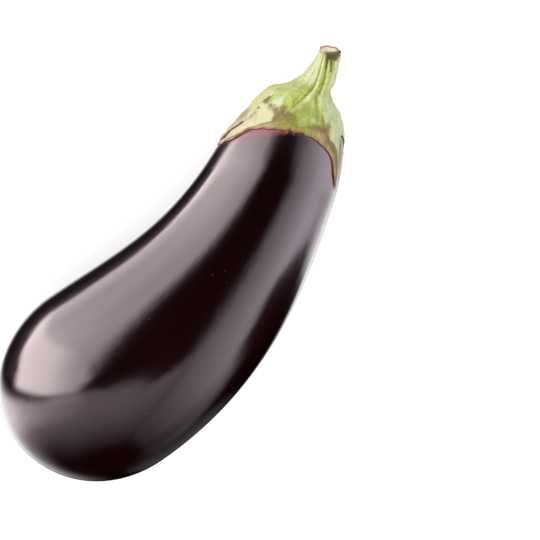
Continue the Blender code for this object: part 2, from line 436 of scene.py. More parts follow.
def x_on(path, turn):
    """The x at which a path passes an angle in degrees."""
    places, turns = zip(*sorted(path, key=lambda place: place[1]))
    return np.interp(turn, turns, places) * MM


def rib_relief(x, angle):
    """Share of the full height of the ribs, 0 in a furrow and 1 half way to the next."""
    furrows = np.stack([angle_on(path, x) for path in FURROWS])
    furrows = np.concatenate([furrows, furrows[:1] + 360.0])
    turned = (np.degrees(angle) - furrows[0]) % 360.0 + furrows[0]
    relief = np.zeros_like(turned)
    for first, second in zip(furrows, furrows[1:]):
        share = np.clip((turned - first) / (second - first), 0.0, 1.0)
        relief = np.maximum(relief, np.sin(math.pi * share) ** RIB_POWER)
    return relief


def distance_to(path, x, angle, radius):
    """Distance over the surface, in metres, to a path of (x in mm, angle)."""
    best = np.full(x.shape, 1.0)
    for (x0, a0), (x1, a1) in zip(path, path[1:]):
        away = signed(np.degrees(angle) - a0)
        across, run = np.radians(away) * radius, math.radians(a1 - a0) * radius
        ahead, reach = x - x0 * MM, (x1 - x0) * MM
        t = np.clip((across * run + ahead * reach) / (run ** 2 + reach ** 2), 0.0, 1.0)
        best = np.minimum(best, np.hypot(across - t * run, ahead - t * reach))
    return best


def zones(x, turn):
    """Share of each differently coloured area of the green tissue, the stripe of painted highlight along the
    stem's ridges among them.
    """
    outer_edge = angle_on(TORN_LINE + SPLIT_LINE, x)
    middle, right = angle_on(MIDDLE_FURROW, x), angle_on(RIGHT_FURROW, x)
    lower_edge = x_on(RAISED_LINE + CREASE + STRIP_MIDDLE, turn)
    near_front = band(turn, -78.0, 72.0, 8.0)
    lower = smooth((lower_edge - x) / 0.0012 + 0.5) * near_front
    calyx = smooth((0.2090 - x) / 0.006 + 0.5)
    # Painted highlight: a pale stripe just beside the stem's furrows.
    ridge_highlight = bell(turn - middle, 7.0, 4.5) + 0.6 * bell(turn - right, 9.0, 5.0)
    return {
        "outer": band(turn, -135.0, outer_edge, 5.0) * smooth((0.200 - x) / 0.006 + 0.5),
        "cream": band(turn, outer_edge, -24.0, 5.0) * band(x, lower_edge, 0.1925, 0.0015),
        "lower": lower,
        "centre": band(turn, middle, right, 4.0) * calyx * (1.0 - lower),
        "side": band(turn, right + 9.0, 160.0, 5.0) * calyx * (1.0 - lower),
        "stem_left": band(turn, -150.0, middle, 5.0) * (1.0 - calyx),
        "stem_ridge_highlight": ridge_highlight * smooth((x - 0.193) / 0.008),
        "stem_right": band(turn, np.maximum(right + 24.0, 44.0), 170.0, 8.0) * (1.0 - calyx),
    }


def bridge(start, leave, end, arrive, s):
    """Smooth curve from start to end that leaves and arrives in the given ways."""
    return ((2 * s ** 3 - 3 * s ** 2 + 1) * start + (s ** 3 - 2 * s ** 2 + s) * leave
            + (3 * s ** 2 - 2 * s ** 3) * end + (s ** 3 - s ** 2) * arrive)


def green_surface(columns):
    """Rings from the cut rim down the stem, round the join and out to the margin of the calyx.

    Returns the points, and the x and the angle that each is known by.
    """
    sine = np.sin(columns)
    join_t = STEM_JOIN[0] - STEM_JOIN[1] * sine
    join_share = CALYX_JOIN[0] - CALYX_JOIN[1] * sine
    t = 1.0 + (join_t - 1.0) * np.linspace(0.0, 1.0, STEM_ROWS)[:, None]
    stem = stem_place(t, columns)
    share = join_share + (1.0 - join_share) * np.linspace(0.0, 1.0, CALYX_ROWS)[:, None]
    latitude, angle = calyx_place(columns, share)
    calyx = above_skin(latitude, angle, outer_height(share, latitude, angle))
    calyx_x = x_at(latitude)

    s = np.linspace(0.0, 1.0, JOIN_ROWS + 2)[1:-1, None, None]
    chord = np.linalg.norm(calyx[0] - stem[-1], axis=-1, keepdims=True)
    leave = unit(stem[-1] - stem[-2]) * chord
    arrive = unit(calyx[1] - calyx[0]) * chord
    join = bridge(stem[-1], leave, calyx[0], arrive, s)
    stem_x = STEM_FOOT.x + STEM_LENGTH * t
    part = s[..., 0]
    join_x = stem_x[-1] * (1.0 - part) + calyx_x[0] * part
    join_angle = columns + (angle[0] - columns) * part

    points = np.concatenate([stem, join, calyx])
    x = np.concatenate([stem_x, join_x, calyx_x])
    angles = np.concatenate([np.broadcast_to(columns, t.shape), join_angle, angle])
    return points, x, angles


def grid_normals(points):
    """Outward normals of a stack of rings."""
    down = np.gradient(points, axis=0)
    turn = np.roll(points, -1, axis=1) - np.roll(points, 1, axis=1)
    return unit(np.cross(down, turn))


def green_shape(columns):
    """The finished outer surface of stem and calyx, with the values that colour it."""
    points, x, angle = green_surface(columns)
    radius = np.maximum(fruit_radius(np.minimum(x, TOP_X)), LEAST_RADIUS)
    turn = signed(np.degrees(angle))

    def near(*paths):
        """Distance in mm to the nearest of several paths."""
        return np.minimum.reduce([distance_to(path, x, angle, radius) for path in paths]) / MM

    marks = {
        "furrow": near(*FURROWS),
        "faint": near(*FAINT_LINES),
        "raised": near(RAISED_LINE),
        "crease": near(CREASE),
        "torn": near(TORN_LINE),
        "split": near(SPLIT_LINE),
        "star": near(*STAR_ARMS) + PATCH_TAPER * near(STAR_ARMS[0]),
        "dried": near(*RIGHT_ARMS) + PATCH_TAPER * near(RIGHT_ARMS[0]),
        "spot": near(TORN_SPOT),
        "strip": near(STRIP_MIDDLE),
        "stain_and_shade": near(*STAINS) + STAIN_TAPER * np.maximum(STAIN_TAPER_X - x, 0.0) / MM,
    }
    ribs = rib_relief(x, angle)
    rib_height = RIB_HEIGHT * smooth((x - RIB_START_X) / RIB_RISE)
    rib_height = rib_height * (1.0 - 0.5 * smooth((x - 0.214) / 0.008))
    lift = (ribs - RIB_LEVEL) * rib_height
    for mark, depth, width in PRESSED_LINES:
        fade = smooth((x - RIB_START_X) / 0.008) if mark == "furrow" else 1.0
        lift -= depth * bell(marks[mark], 0.0, width) * fade
    dry = sum(np.clip(1.0 - marks[key] / WRINKLE_MM, 0.0, 1.0) for key in ("star", "dried"))
    lift += rough(points, *COARSE) + rough(points, *FINE)
    lift += rough(points, *WRINKLED) * dry
    points = points + grid_normals(points) * lift[..., None]

    gaps = np.linalg.norm(np.diff(points, axis=0), axis=-1)
    to_margin = np.concatenate([np.cumsum(gaps[::-1], axis=0)[::-1], np.zeros_like(gaps[:1])])
    spun = np.broadcast_to(columns, x.shape)
    values = {
        "along": (x - GREEN_MIDDLE_X) / MM,
        "turn": turn,
        "ribs": ribs,
        "to_margin": to_margin / MM,
        "cut": 0.0 * x,
        "grain": np.stack([np.cos(spun), np.sin(spun), (x - GREEN_MIDDLE_X) / GREEN_PITCH], axis=-1),
    }
    values.update(marks)
    values.update(zones(x, turn))
    return points, values


def take(values, low, high, before, after):
    """Rows low to high of the values, with the first and the last repeated before and after them."""
    rows = np.clip(np.arange(low - before, high + after + 1), low, high)
    return {key: layer[rows] for key, layer in values.items()}


def plug(ring, shares, depth):
    """Rings that close a ring towards its middle, moved along X by a depth, and their middle."""
    middle = ring.mean(axis=0)
    rings = np.stack([middle + (ring - middle) * share for share in shares])
    rings[..., 0] += depth
    return rings, middle + (depth, 0.0, 0.0)


def add_piece(name, rings, tips, values, finish):
    """Closed mesh through a stack of rings and a tip at either end, carrying its named values."""
    count = rings.shape[1]
    points = np.concatenate([tips[:1], rings.reshape(-1, 3), tips[1:]])
    following = (np.arange(count) + 1) % count
    faces = []
    for row in range(len(rings) - 1):
        first = 1 + row * count
        second = first + count
        corners = (
            first + np.arange(count), first + following, second + following, second + np.arange(count))
        faces += zip(*(corner.tolist() for corner in corners))
    last = 1 + (len(rings) - 1) * count
    faces += [(0, 1 + j, 1 + i) for i, j in enumerate(following.tolist())]
    faces += [(len(points) - 1, last + i, last + j) for i, j in enumerate(following.tolist())]
    data = bpy.data.meshes.new(name)
    data.from_pydata(points.tolist(), [], faces)
    for key, layer in values.items():
        vector = layer.ndim == 3
        flat = layer.reshape(-1, 3) if vector else layer.reshape(-1)
        padded = np.concatenate([flat[:1], flat, flat[-1:]]).astype(np.float32)
        attribute = data.attributes.new(key, "FLOAT_VECTOR" if vector else "FLOAT", "POINT")
        attribute.data.foreach_set("vector" if vector else "value", padded.ravel())
    data.validate()
    data.shade_smooth()
    data.set_sharp_from_angle(angle=SHARP_ANGLE)
    data.materials.append(finish)
    piece = bpy.data.objects.new(name + "_finished", data)
    bpy.context.scene.collection.objects.link(piece)
    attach(piece, "root")
    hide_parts(name)


# ---------------------------------------------------------------- shader maths

def both_ways(operation):
    """The method of an operator, and the one of its reflected form."""
    def forward(self, other):
        return self.maths(operation, self, other)

    def reflected(self, other):
        return self.maths(operation, other, self)

    return forward, reflected


class Wire:
    """An output socket that takes part in Python arithmetic; each operation adds a node."""

    def __init__(self, graph, socket):
        self.graph = graph
        self.socket = socket

    def maths(self, operation, first, second):
        """Add a Math node, or a Vector Math node where either side is a vector."""
        kind, pair = "ShaderNodeMath", (first, second)
        if any(isinstance(side, Wire) and side.socket.type == "VECTOR" for side in pair):
            kind = "ShaderNodeVectorMath"
            pair = [side if isinstance(side, (Wire, tuple)) else (side, side, side) for side in pair]
        return self.graph.node(kind, {"operation": operation}, dict(enumerate(pair)))

    __add__, __radd__ = both_ways("ADD")
    __sub__, __rsub__ = both_ways("SUBTRACT")
    __mul__, __rmul__ = both_ways("MULTIPLY")
    __truediv__, __rtruediv__ = both_ways("DIVIDE")
    __pow__, __rpow__ = both_ways("POWER")


class Graph:
    """A node tree built by expressions."""

    def __init__(self, owner):
        owner.use_nodes = True
        self.tree = owner.node_tree
        self.tree.nodes.clear()

    def node(self, kind, settings=None, inputs=None, output=0):
        """Add a node, set it up, feed its sockets and hand back one output. A colour gets alpha 1."""
        made = self.tree.nodes.new(kind)
        for name, value in (settings or {}).items():
            setattr(made, name, value)
        for key, value in (inputs or {}).items():
            socket = made.inputs[key]
            if isinstance(value, Wire):
                self.tree.links.new(value.socket, socket)
            else:
                socket.default_value = (*value, 1.0) if socket.type == "RGBA" else value
        return Wire(self, made.outputs[output]) if made.outputs else None

    def number(self, name):
        return self.node("ShaderNodeAttribute", {"attribute_name": name}, output="Fac")

    def vector(self, name):
        return self.node("ShaderNodeAttribute", {"attribute_name": name}, output="Vector")

    def rise(self, value, low, high):
        """0 below low, 1 above high and smooth between."""
        sockets = {"Value": value, "From Min": low, "From Max": high}
        return self.node("ShaderNodeMapRange", {"interpolation_type": "SMOOTHSTEP"}, sockets)

    def fall(self, value, low, high):
        """1 below low, 0 above high and smooth between."""
        return 1.0 - self.rise(value, low, high)

    def least(self, first, second):
        return self.node("ShaderNodeMath", {"operation": "MINIMUM"}, {0: first, 1: second})

    def most(self, first, second):
        return self.node("ShaderNodeMath", {"operation": "MAXIMUM"}, {0: first, 1: second})

    def mix(self, share, colour, other, blend="MIX"):
        """Blend a colour with another one by a share."""
        settings = {"data_type": "RGBA", "blend_type": blend}
        return self.node("ShaderNodeMix", settings, {0: share, 6: colour, 7: other}, output=2)

    def coats(self, colour, *layers):
        """Lay coats over a colour, each given as its share and its own colour."""
        for share, layer in layers:
            colour = self.mix(share, colour, layer)
        return colour

    def noise(self, place, scale, detail, roughness=0.5):
        sockets = {"Vector": place, "Scale": scale, "Detail": detail, "Roughness": roughness}
        return self.node("ShaderNodeTexNoise", None, sockets)

    def bump(self, height, distance, strength):
        sockets = {"Height": height, "Distance": distance, "Strength": strength}
        return self.node("ShaderNodeBump", None, sockets)

    def principled(self, sockets):
        return self.node("ShaderNodeBsdfPrincipled", None, sockets)

    def surface(self, shader):
        self.node("ShaderNodeOutputMaterial", None, {"Surface": shader})


# ---------------------------------------------------------------- settings

class EggplantFruitSettings(bpy.types.PropertyGroup):
    belly_radius: FloatProperty(
        name="Belly radius", description="Mean radius of the fruit at its widest",
        default=0.0449, unit="LENGTH")
    neck_radius: FloatProperty(
        name="Neck radius", description="Mean radius that the fruit tapers to under the calyx",
        default=0.0270, unit="LENGTH")
    skin_colour: FloatVectorProperty(
        name="Skin", description="Deep colour of the skin",
        default=(0.0042, 0.0002, 0.0006), subtype="COLOR")
    shaded_colour: FloatVectorProperty(
        name="Shaded skin", description="Colour of the skin that the calyx kept from the sun",
        default=(0.300, 0.090, 0.105), subtype="COLOR")


class EggplantCalyxSettings(bpy.types.PropertyGroup):
    swell: FloatProperty(
        name="Swell", description="How much thicker the calyx is between its margin and the stem",
        default=0.0014, unit="LENGTH")
    margin_thickness: FloatProperty(
        name="Margin thickness", description="Thickness of the calyx at its edge",
        default=0.0008, unit="LENGTH")
    green: FloatVectorProperty(
        name="Green", description="Main colour of the calyx",
        default=(0.420, 0.475, 0.140), subtype="COLOR")
    pale: FloatVectorProperty(
        name="Pale green", description="Colour of the pale ribs and fibres",
        default=(0.520, 0.555, 0.300), subtype="COLOR")
    dried: FloatVectorProperty(
        name="Dried brown", description="Colour of the dried patches",
        default=(0.110, 0.072, 0.034), subtype="COLOR")


class EggplantStemSettings(bpy.types.PropertyGroup):
    foot_radius: FloatProperty(
        name="Foot radius", description="Radius of the stem where it leaves the calyx",
        default=0.0072, unit="LENGTH")
    cut_radius: FloatProperty(
        name="Cut radius", description="Radius of the cut end of the stem",
        default=0.0050, unit="LENGTH")
    pith: FloatVectorProperty(
        name="Pith", description="Colour of the middle of the cut end",
        default=(0.760, 0.650, 0.540), subtype="COLOR")


class EggplantStageSettings(bpy.types.PropertyGroup):
    view_width: FloatProperty(
        name="View width", description="Width of what the camera sees at the fruit",
        default=0.2435, unit="LENGTH")
    camera_distance: FloatProperty(
        name="Camera distance", description="Distance from the camera to the fruit",
        default=1.2, unit="LENGTH")
    light: FloatProperty(
        name="Light", description="Strength of the studio light that the skin mirrors", default=1.0)
    soft_light: FloatProperty(
        name="Tent", description="Strength of the even light from the white tent around", default=1.05)
    floor_glow: FloatProperty(
        name="Floor glow", description="Light that the floor gives off", default=0.35)
    floor_colour: FloatVectorProperty(
        name="Floor", description="Colour of the floor", default=(0.70, 0.70, 0.70), subtype="COLOR")


# ---------------------------------------------------------------- finishes

def skin_finish():
    """Waxy purple-black skin, redder where the calyx shades it, with a tan scar at the blossom end."""
    sizes = bpy.context.scene.eggplant_fruit
    material = bpy.data.materials.new("purple_black_skin")
    graph = Graph(material)
    grain = graph.vector("grain")
    from_calyx = graph.number("from_calyx")
    from_scar = graph.number("from_scar")
    reach = graph.number("reach")

    cloud = graph.noise(grain, 14.0, 2.0)
    streak = graph.noise(grain * (12.0, 190.0, 190.0), 1.0, 3.0, 0.6)
    fine = graph.noise(grain * (60.0, 420.0, 420.0), 1.0, 2.0, 0.7)
    speck = graph.node("ShaderNodeTexVoronoi", None, {"Vector": grain * (0.45, 1.0, 1.0), "Scale": 420.0})
    sparse = graph.rise(graph.noise(grain, 60.0, 1.0), 0.52, 0.66)
    blotch = graph.noise(grain * (0.6, 1.0, 1.0), 160.0, 3.0, 0.6)
    ripple = graph.noise(grain * (0.35, 1.0, 1.0), 75.0, 2.0, 0.5)
    dimple = graph.noise(grain * (0.5, 1.0, 1.0), 230.0, 2.0, 0.5)

    scar = graph.fall(from_scar + (blotch - 0.5) * 1.6, 2.0, 3.2)
    halo = graph.fall(from_scar + (blotch - 0.5) * 3.0, 3.0, 7.0)
    colour = graph.coats(
        sizes.skin_colour,
        (graph.rise(cloud, 0.35, 0.7) * 0.6, (0.0070, 0.0004, 0.0012)),
        (graph.fall(speck, 0.06, 0.16) * sparse * 0.35, (0.10, 0.045, 0.05)),
        (halo * 0.5, (0.10, 0.055, 0.02)),
        (scar, (0.42, 0.28, 0.10)))
    height = streak * 0.6 + fine * 0.4 + ripple * 8.0 + dimple * 2.0 + scar * (blotch * 6.0 - 1.0)
    normal = graph.bump(height, 0.00003, 0.6)
    waxy = graph.principled({
        "Base Color": colour,
        "Roughness": 0.11 + streak * 0.07 + scar * 0.35 + graph.fall(from_calyx, 3.0, 26.0) * 0.08,
        "IOR": 1.60,
        "Normal": normal,
    })

    pink = graph.fall((from_calyx + (blotch - 0.5) * 2.5) / reach, 0.0, 1.0) ** 1.5
    ember = graph.rise(graph.noise(grain, 330.0, 2.0), 0.50, 0.62) * graph.fall(from_calyx, 0.6, 3.0)
    ember = ember * graph.fall(graph.number("from_ember"), 1.5, 7.0)
    dull = graph.principled({
        "Base Color": graph.mix(ember * 0.7, sizes.shaded_colour, (0.60, 0.11, 0.05)),
        "Roughness": 0.42,
        "Specular IOR Level": 0.25,
        "Normal": normal,
    })
    share = graph.least(pink * (0.22 + reach * 0.06) + ember * 0.3, 0.85)
    graph.surface(graph.node("ShaderNodeMixShader", None, {0: share, 1: waxy, 2: dull}))
    return material


def green_finish(name):
    """Fleshy yellow-green tissue with dried patches and a beige torn edge. Its paler ribs are partly painted
    highlight; its dark furrows, crease and split and one side of the cut end are painted shade.
    """
    calyx = bpy.context.scene.eggplant_calyx
    stem = bpy.context.scene.eggplant_stem
    material = bpy.data.materials.new(name)
    graph = Graph(material)
    grain = graph.vector("grain")
    along = graph.number("along")
    turn = graph.number("turn")
    ribs = graph.number("ribs")
    cut = graph.number("cut")
    place = graph.node("ShaderNodeTexCoord", output="Object")

    cloud = graph.noise(place, 210.0, 3.0, 0.6)
    mottle = graph.noise(place, 620.0, 4.0, 0.65)
    fleck = graph.noise(place, 1150.0, 3.0, 0.6)
    fibre = graph.noise(grain * (26.0, 26.0, 1.6), 1.0, 3.0, 0.6)
    vein = graph.noise(grain * (11.0, 11.0, 2.4), 1.0, 2.0, 0.5)
    ragged = (cloud - 0.5) * 3.0 + (mottle - 0.5) * 2.2

    def spread(mark, near, far, wander=0.3):
        """Mask that is 1 close to a mark and wanders at its edge."""
        return graph.fall(graph.number(mark) + ragged * wander, near, far)

    def oval(middle, angle, stretch, swing, wander, near, far):
        """Mask that is 1 in an oval round a place and wanders at its edge."""
        away = ((along - middle) * stretch) ** 2.0 + ((turn - angle) * swing) ** 2.0
        return graph.fall(away + ragged * wander, near, far)

    # Fresh green areas, from the whole surface to the stem and its furrows. The paler rib crests
    # and the stripe along the stem's ridges are painted highlight; the darkened faint lines and furrows are
    # painted shade.
    fresh = graph.rise(cloud + (mottle - 0.5) * 0.5, 0.35, 0.62)
    # Pale fibres, with the rib crests made paler as a painted highlight.
    pale = graph.rise(fibre * 0.6 + ribs * 0.4 + (cloud - 0.5) * 0.4, 0.48, 0.78)
    lush = graph.rise(cloud + (fibre - 0.5) * 0.6, 0.38, 0.64)
    olive = graph.rise(along, 3.0, 11.0) * graph.rise(turn, -24.0, 2.0) * graph.fall(turn, 60.0, 90.0)
    furrow = spread("furrow", 0.10, 0.80, 0.10) * graph.rise(along, -12.0, -3.0)
    colour = graph.coats(
        graph.mix(fresh, (0.310, 0.370, 0.070), calyx.green),
        (pale * 0.5, calyx.pale),
        (graph.number("centre") * 0.92, graph.mix(lush, (0.235, 0.270, 0.048), (0.320, 0.360, 0.115))),
        (graph.number("side") * 0.9, (0.390, 0.415, 0.250)),
        (olive * 0.85, (0.335, 0.375, 0.095)),
        (graph.number("stem_left") * 0.8, (0.560, 0.590, 0.370)),
        (graph.number("stem_right") * 0.85, (0.510, 0.510, 0.370)),
        # Painted highlight: a pale stripe along the stem's ridges.
        (graph.number("stem_ridge_highlight") * 0.9, (0.640, 0.680, 0.340)),
        # Painted shade: the faint lines and the furrows are darkened.
        (spread("faint", 0.05, 0.6, 0.12) * 0.4, (0.260, 0.300, 0.110)),
        (furrow * 0.70, (0.165, 0.205, 0.035)))

    # The beige and brown areas beside the torn line, and the band along the lower margin. The pale spot
    # beside the torn line is a painted highlight; the crease and the dark spot where it meets the raised
    # line are painted shade.
    faded = graph.rise(along + ragged * 1.5, -18.0, -7.0)
    outer = graph.mix(faded, (0.490, 0.390, 0.300), (0.500, 0.510, 0.285))
    cream = graph.mix(graph.rise(turn, -52.0, -38.0), (0.57, 0.49, 0.36), (0.53, 0.52, 0.33))
    lower = graph.mix(graph.rise(turn, -34.0, -18.0), (0.560, 0.410, 0.290), (0.225, 0.210, 0.042))
    lower = graph.mix(graph.rise(turn, 12.0, 34.0), lower, (0.260, 0.190, 0.105))
    colour = graph.coats(
        colour,
        (graph.number("outer") * 0.9, outer),
        (oval(-13.5, -72.0, 0.5, 0.14, 1.4, 0.5, 4.5) * 0.75, (0.250, 0.205, 0.120)),
        (graph.number("cream") * 0.95, cream),
        # Painted highlight: a whitish pale spot beside the torn line.
        (oval(-6.3, -29.5, 0.7, 0.42, 2.0, 2.0, 10.0) * 0.9, (0.545, 0.590, 0.370)),
        # Painted shade: a dark spot where the crease meets the raised line.
        (oval(-12.0, -7.0, 0.8, 0.30, 2.0, 2.0, 9.0) * 0.8, (0.150, 0.150, 0.018)),
        (graph.number("lower") * (0.75 + mottle * 0.4), lower),
        # Painted shade along the pressed crease.
        (spread("crease", 0.2, 1.3) * 0.5, (0.150, 0.160, 0.020)))

    # Veins, darker and lighter than the ground, and fine specks.
    dark_vein = graph.rise(vein + (fleck - 0.5) * 0.3, 0.56, 0.70) + graph.rise(mottle, 0.56, 0.70) * 0.8
    light_vein = graph.fall(vein + (fleck - 0.5) * 0.4, 0.32, 0.46) * 0.6
    light_vein = light_vein + graph.fall(mottle, 0.34, 0.44) * 0.5
    specks = graph.rise(fleck, 0.55, 0.68)
    colour = graph.mix(graph.least(dark_vein, 1.0) * 0.8, colour, (0.66, 0.70, 0.42), "MULTIPLY")
    colour = graph.mix(graph.least(light_vein, 1.0) * 0.30, colour, (0.640, 0.660, 0.420))
    colour = graph.mix(specks * 0.6, colour, (0.72, 0.74, 0.58), "MULTIPLY")

    # Dried patches, the torn line with its dots, the split, darkened nearly to black as painted shade in its
    # gap, and the browned edge.
    star = spread("star", -0.6, 4.6, 0.8)
    dried = spread("dried", -0.6, 4.4, 0.8)
    strip = spread("strip", 0.4, 2.2, 0.40)
    spot = spread("spot", -0.4, 2.6, 0.6)
    patch = graph.most(graph.most(star, dried), graph.most(strip, spot))
    speckle = graph.rise(mottle * 0.45 + fleck * 0.55 + patch * 0.16, 0.48, 0.74)
    dots = spread("torn", 0.3, 1.3, 0.4) * graph.rise(mottle * 0.5 + fleck * 0.5, 0.48, 0.56)
    edge = graph.fall(graph.number("to_margin") + ragged * 0.15, 0.1, 0.8)
    colour = graph.coats(
        colour,
        (graph.rise(patch, 0.10, 0.95) * 0.8, (0.235, 0.170, 0.080)),
        (graph.rise(patch, 0.0, 0.7) * speckle * 0.75, calyx.dried),
        (dots * 0.9, (0.110, 0.100, 0.025)),
        (spread("raised", 0.10, 0.75, 0.20) * (0.35 + mottle), (0.230, 0.160, 0.080)),
        # Painted shade: the split is darkened nearly to black to stand for its open gap.
        (spread("split", 0.70, 1.60, 0.35) * 0.95, (0.045, 0.022, 0.014)),
        (edge * 0.6, (0.180, 0.115, 0.060)))

    # The cut end: a browned rim, pale pith within the bark, the stain that runs from it, and painted shade
    # that darkens one side of the cut face.
    rim = graph.rise(along + ragged * 0.3, 24.0, 25.4)
    pith = graph.mix(graph.rise(mottle, 0.35, 0.65), (0.55, 0.43, 0.30), stem.pith)
    bark = graph.fall(cut + (mottle - 0.5) * 0.25, 0.70, 0.92)
    colour = graph.coats(
        colour,
        (rim * 0.85, (0.210, 0.145, 0.065)),
        (graph.rise(cut, 0.001, 0.01) * bark, pith),
        # Real stains near the cut, and painted shade that darkens one side of the cut face.
        (spread("stain_and_shade", 0.3, 2.0, 0.4) * (0.72 + mottle * 0.4), (0.064, 0.047, 0.021)))

    height = fibre * 0.8 + mottle * 0.7 + vein * 0.5 + patch * mottle * 0.8
    graph.surface(graph.principled({
        "Base Color": colour,
        "Roughness": 0.5 + patch * 0.25 + (fibre - 0.5) * 0.2,
        "IOR": 1.40,
        "Specular IOR Level": 0.14,
        "Normal": graph.bump(height, 0.00035, 0.7),
    }))
    return material


def floor_finish():
    """Plain matt pale board with barely visible grain, faintly lit from within as a light table is."""
    sizes = bpy.context.scene.eggplant_stage
    material = bpy.data.materials.new("pale_board")
    graph = Graph(material)
    cloud = graph.noise(graph.node("ShaderNodeTexCoord", output="Object"), 30.0, 2.0)
    graph.surface(graph.principled({
        "Base Color": graph.mix(cloud * 0.04, sizes.floor_colour, (0.6, 0.6, 0.6)),
        "Roughness": 0.9,
        "IOR": 1.2,
        "Emission Color": (1.0, 1.0, 1.0),
        "Emission Strength": sizes.floor_glow,
    }))
    return material


# ---------------------------------------------------------------- camera and light

def view_axes():
    """Right, up and back of the camera, as columns, in the resting frame."""
    right = Vector((math.cos(CAMERA_TURN), -math.sin(CAMERA_TURN), 0.0))
    up = Vector((math.sin(CAMERA_TURN), math.cos(CAMERA_TURN), 0.0))
    axes = Matrix((right, up, Vector((0.0, 0.0, 1.0)))).transposed()
    return ATTITUDE @ axes


def left_box(graph, turn, height):
    """Tall soft box on the left that leans outwards as it rises, with a faint tail beyond its far edge."""
    high = graph.most(height - 14.0, 0.0)
    box = graph.rise(turn - 13.0 * graph.fall(height, 0.0, 14.0), 4.0, 20.0)
    box = box * graph.fall(turn - high, 100.0, 113.0)
    box = box + 0.03 * graph.fall(turn - high, 105.0, 140.0) * graph.rise(turn, 70.0, 100.0)
    box = box * graph.rise(height - 0.07 * graph.most(turn - 52.0, 0.0), -2.5, 3.5)
    bright = 4.7 * graph.rise(turn, 21.0, 68.0) * (1.0 - 0.68 * graph.rise(height, 40.0, 50.0))
    bright = bright + 4.5 - graph.rise(turn, 80.0, 105.0)
    return box * bright * (1.0 - 0.22 * graph.rise(height, 52.0, 66.0))


def left_table(graph, turn, height):
    """Pale table below the box, with the glow of the box on it."""
    inward = graph.most(8.0 - turn, 0.0)
    slant = graph.most(inward ** 2.0 * -0.0212, -22.0)
    edge = graph.fall(height - slant, -5.5, 1.5)
    table = 1.3 * graph.rise(height, -78.0, -16.0) * edge
    table = table * (1.0 - 0.95 * graph.rise(turn, 35.0, 115.0) * graph.fall(height, -55.0, -31.0))
    glow = graph.least(graph.most(turn - 14.0, 0.0) * 0.0327, 3.2) - 0.05 * graph.most(turn - 114.0, 0.0)
    glow = glow * graph.rise(height, -35.0, -14.0) * graph.fall(height, -9.0, -2.0)
    patch = graph.rise(turn, 14.0, 30.0) * graph.fall(turn, 48.0, 66.0)
    patch = patch * graph.rise(height, -12.0, -7.0) * graph.fall(height, -1.0, 4.0)
    return (table + glow + patch) * graph.rise(turn, -42.0, -34.0) * graph.fall(turn, 152.0, 175.0)


def right_fill(graph, turn, height):
    """Weaker broad fill on the right, fading downwards and towards the back."""
    fill = 1.15 + graph.least(graph.most(-38.0 - turn, 0.0) * 0.066, 2.95)
    fill = fill - 1.5 * graph.fall(turn, -128.0, -98.0)
    fill = fill - 1.2 * graph.fall(turn, -140.0, -124.0) * graph.rise(height, -18.0, -12.0)
    fill = fill * graph.rise(turn, -180.0, -158.0)
    fill = fill * graph.fall(turn, -45.0, -33.0) * graph.rise(height, -76.0, -20.0)
    fill = fill * (1.0 - 0.6 * graph.rise(height, 10.0, 40.0))
    fill = fill * (1.0 - 0.4 * graph.fall(turn, -112.0, -78.0) * graph.fall(height, -50.0, -40.0))
    return fill * (1.0 - 0.8 * graph.fall(turn, -150.0, -126.0) * graph.fall(height, -50.0, -42.0))


def right_screen(graph, turn, height):
    """Share of the light that a dark screen low on the right takes away."""
    dark = graph.fall(turn + 0.6 * graph.most(-30.0 - height, 0.0), -84.0, -70.0)
    dip = graph.least(graph.most(turn + 133.0, 0.0) * 0.10, 1.5) + graph.most(-131.0 - turn, 0.0) * 0.20
    dark = dark * graph.fall(height - dip, -29.5, -26.0)
    return dark * graph.rise(height - 0.25 * (graph.most(turn, -125.0) + 88.0), -47.0, -39.5)


def rim_lights(graph, turn, height):
    """Two faint strips far round the back: one low on the right, one on the left."""
    low = graph.fall(height + 0.75 * (turn + 170.0) + 27.0, -3.0, 3.0) * graph.fall(turn, -130.0, -112.0)
    low = low * graph.rise(height, -62.0, -44.0) * graph.rise(turn, -180.0, -174.0)
    return 0.14 * low, 0.035 * graph.rise(turn, 112.0, 132.0) * graph.rise(height, -4.0, 2.0)


